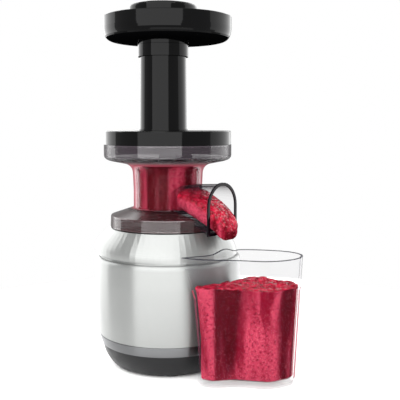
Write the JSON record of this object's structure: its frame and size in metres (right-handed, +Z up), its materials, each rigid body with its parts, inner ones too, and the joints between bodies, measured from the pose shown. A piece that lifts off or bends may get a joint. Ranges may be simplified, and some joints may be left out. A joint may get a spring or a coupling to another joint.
{
  "type": "cold press juicer",
  "caption": "Vertical slow juicer: a drum-shaped motor base with a clear bowl, arched spout, tall feed tube with a tray, pusher and a clear jug.",
  "frame": {"origin": "on the floor, in the middle of the footprint that the machine and its jug cover; the vertical axis of the drum and the auger stands 41.1 mm behind it", "axes": "+Z up along the axis of the drum, -Y towards the spout and the jug, +Y towards the switch and the cord inlet at the back"},
  "size_m": [0.167, 0.2503, 0.408],
  "materials": {
    "satin_silver": "satin silver paint",
    "gloss_black": "glossy black plastic",
    "dark_base": "dark satin plastic",
    "grey_band": "grey metallic band",
    "smoked_clear": "clear plastic with a smoked tint",
    "jug_clear": "clear plastic with a faint violet tint",
    "black_rubber": "matt rubber",
    "silicone": "translucent silicone",
    "die_cast": "die-cast",
    "steel": "turned steel",
    "screw_steel": "zinc-plated steel",
    "laminated_steel": "stacked laminations",
    "copper": "enamelled copper wire",
    "brass": "brass",
    "carbon": "carbon brush",
    "gear_nylon": "natural nylon",
    "board_green": "circuit board",
    "auger_grey": "dark reinforced plastic",
    "fan_blue": "moulded plastic",
    "can_grey": "drawn can",
    "fruit_puree": "thick fruit puree, a content and not a part of the machine"
  },
  "bodies": {
    "base": {"foot_pads": "black_rubber", "base_pan": "dark_base", "base_screws": "screw_steel", "trim_band": "grey_band", "body_shell": "satin_silver", "shoulder_shell": "satin_silver", "top_deck": "gloss_black", "gearbox_housing": "die_cast", "gearbox_mid_plate": "die_cast", "gearbox_cover": "die_cast", "gearbox_screws": "screw_steel", "motor_bracket": "can_grey", "stator_core": "laminated_steel", "field_windings": "copper", "motor_bearings": "steel", "brush_holders": "brass", "brushes": "carbon", "brush_springs": "steel", "layshaft_bushes": "brass", "output_bearings": "steel", "drive_seal": "black_rubber", "switch_frame": "gloss_black", "cord_gland": "black_rubber", "control_board": "board_green", "capacitor": "can_grey", "interlock_switch": "dark_base"},
    "rotor": {"motor_shaft": "steel", "rotor_core": "laminated_steel", "rotor_windings": "copper", "commutator": "copper", "cooling_fan": "fan_blue", "motor_pinion": "steel"},
    "first_layshaft": {"layshaft_one": "steel", "first_wheel": "gear_nylon", "second_pinion": "steel"},
    "second_layshaft": {"layshaft_two": "steel", "second_wheel": "gear_nylon", "third_pinion": "steel"},
    "drive": {"output_wheel": "steel", "output_shaft": "steel"},
    "rocker": {"switch_rocker": "gloss_black"},
    "bowl": {"bowl": "smoked_clear", "bowl_skirt": "smoked_clear", "spout": "smoked_clear", "strainer": "steel", "hub_seal": "silicone"},
    "auger": {"auger": "auger_grey"},
    "lid": {"lid": "gloss_black", "feed_tube": "gloss_black", "lid_seal": "silicone"},
    "tray": {"food_tray": "gloss_black"},
    "pusher": {"pusher_stem": "gloss_black", "pusher_cap": "gloss_black"},
    "jug": {"jug": "jug_clear"}
  },
  "joints": [
    {"name": "drive_turn", "type": "hinge", "parent": "base", "child": "drive", "pos_m": [0, 0.0411, 0.107], "axis": [0, 0, 1], "continuous": true},
    {"name": "second_layshaft_turn", "type": "hinge", "parent": "base", "child": "second_layshaft", "pos_m": [0, 0.0861, 0.09], "axis": [0, 0, 1], "continuous": true},
    {"name": "first_layshaft_turn", "type": "hinge", "parent": "base", "child": "first_layshaft", "pos_m": [-0.01984, 0.0636, 0.08], "axis": [0, 0, 1], "continuous": true},
    {"name": "rotor_turn", "type": "hinge", "parent": "base", "child": "rotor", "pos_m": [0, 0.0411, 0.04], "axis": [0, 0, 1], "continuous": true},
    {"name": "rocker_tilt", "type": "hinge", "parent": "base", "child": "rocker", "pos_m": [0, 0.1191, 0.052], "axis": [1, 0, 0], "range_deg": [-11, 11]},
    {"name": "bowl_lift", "type": "slide", "parent": "base", "child": "bowl", "axis": [0, 0, 1], "range_m": [0, 0.06]},
    {"name": "auger_turn", "type": "hinge", "parent": "bowl", "child": "auger", "pos_m": [0, 0.0411, 0.2], "axis": [0, 0, 1], "continuous": true},
    {"name": "lid_lift", "type": "slide", "parent": "bowl", "child": "lid", "axis": [0, 0, 1], "range_m": [0, 0.05]},
    {"name": "tray_lift", "type": "slide", "parent": "lid", "child": "tray", "axis": [0, 0, 1], "range_m": [0, 0.04]},
    {"name": "pusher_lift", "type": "slide", "parent": "tray", "child": "pusher", "axis": [0, 0, 1], "range_m": [0, 0.13]},
    {"name": "jug_slide", "type": "slide", "parent": "base", "child": "jug", "axis": [0, -1, 0], "range_m": [0, 0.1]}
  ],
  "couplings": [
    {"joint": "second_layshaft_turn", "follows": "drive_turn", "ratio": -4},
    {"joint": "first_layshaft_turn", "follows": "drive_turn", "ratio": 16},
    {"joint": "rotor_turn", "follows": "drive_turn", "ratio": -64},
    {"joint": "auger_turn", "follows": "drive_turn", "ratio": 1}
  ]
}
